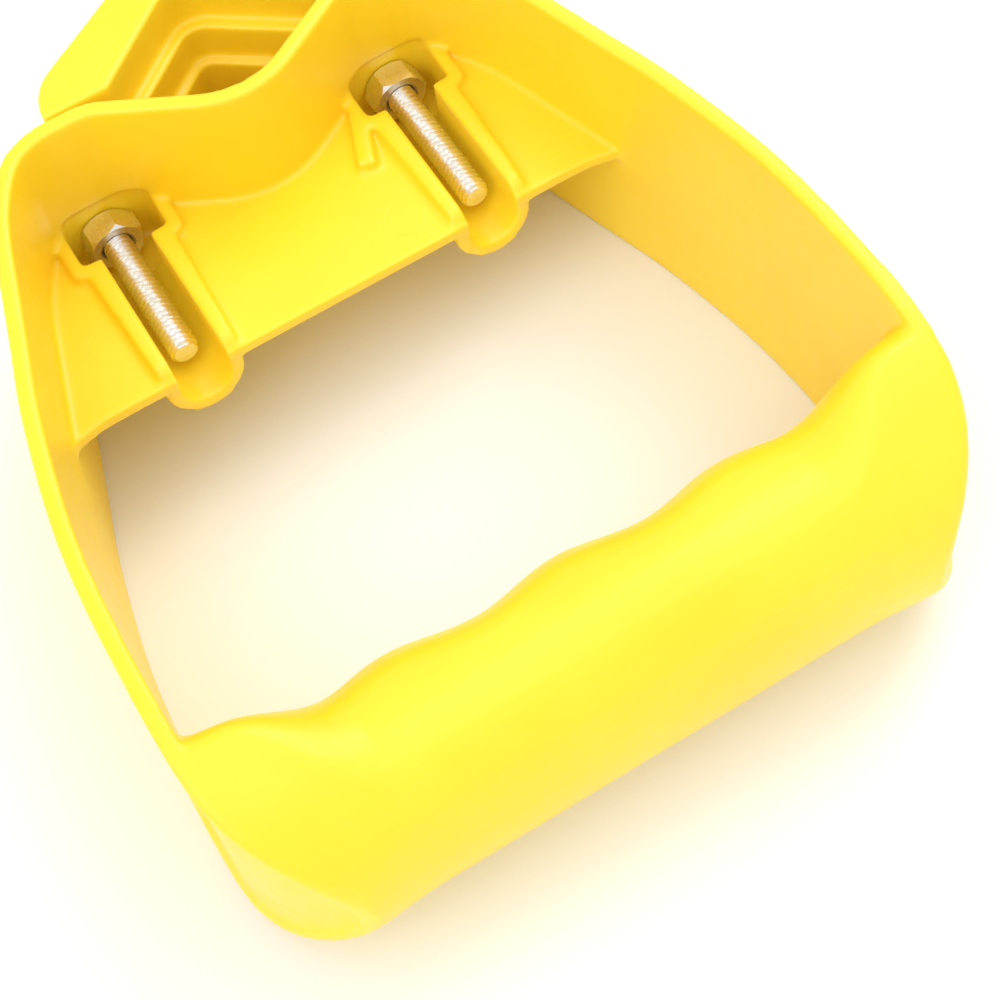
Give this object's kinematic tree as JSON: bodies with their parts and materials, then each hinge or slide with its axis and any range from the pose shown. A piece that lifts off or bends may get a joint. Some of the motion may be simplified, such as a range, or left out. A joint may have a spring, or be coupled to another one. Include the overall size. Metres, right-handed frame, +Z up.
{
  "type": "clamp-on d-grip handle",
  "caption": "D-shaped moulded hand grip with a finger-contoured bar, fixed across a shaft by a V-shaped clamp cap and long hex bolts running into captive nuts.",
  "frame": {"origin": "on the plane of the rim that the handle lies on, under the middle of the whole part's width and length", "axes": "+X across the grip, +Y from the grip to the clamp cap, +Z up through the depth of the handle, along the shaft it clamps"},
  "size_m": [0.152, 0.1898, 0.062],
  "materials": {
    "handle_plastic": "semi-gloss moulded yellow",
    "cap_plastic": "semi-gloss moulded yellow",
    "bolt_zinc": "bright zinc plate",
    "nut_zinc": "bright zinc plate",
    "washer_zinc": "zinc plate"
  },
  "bodies": {
    "handle": {"handle": "handle_plastic", "nut_left": "nut_zinc", "nut_right": "nut_zinc"},
    "cap": {"clamp_cap": "cap_plastic", "washer_left": "washer_zinc", "washer_right": "washer_zinc"},
    "bolt_left": {"bolt_left": "bolt_zinc"},
    "bolt_right": {"bolt_right": "bolt_zinc"}
  },
  "joints": [
    {"name": "cap_slide", "type": "slide", "parent": "handle", "child": "cap", "axis": [0, 1, 0], "range_m": [0, 0.028]},
    {"name": "bolt_left_turn", "type": "hinge", "parent": "cap", "child": "bolt_left", "pos_m": [-0.0336, 0.06835, 0.0275], "axis": [0, 1, 0], "range_deg": [0, 7940]},
    {"name": "bolt_right_turn", "type": "hinge", "parent": "cap", "child": "bolt_right", "pos_m": [0.0336, 0.06835, 0.0275], "axis": [0, 1, 0], "range_deg": [0, 7940]}
  ],
  "couplings": [
    {"joint": "bolt_left_turn", "follows": "cap_slide", "rad_per_m": 4947.4},
    {"joint": "bolt_right_turn", "follows": "cap_slide", "rad_per_m": 4947.4}
  ]
}
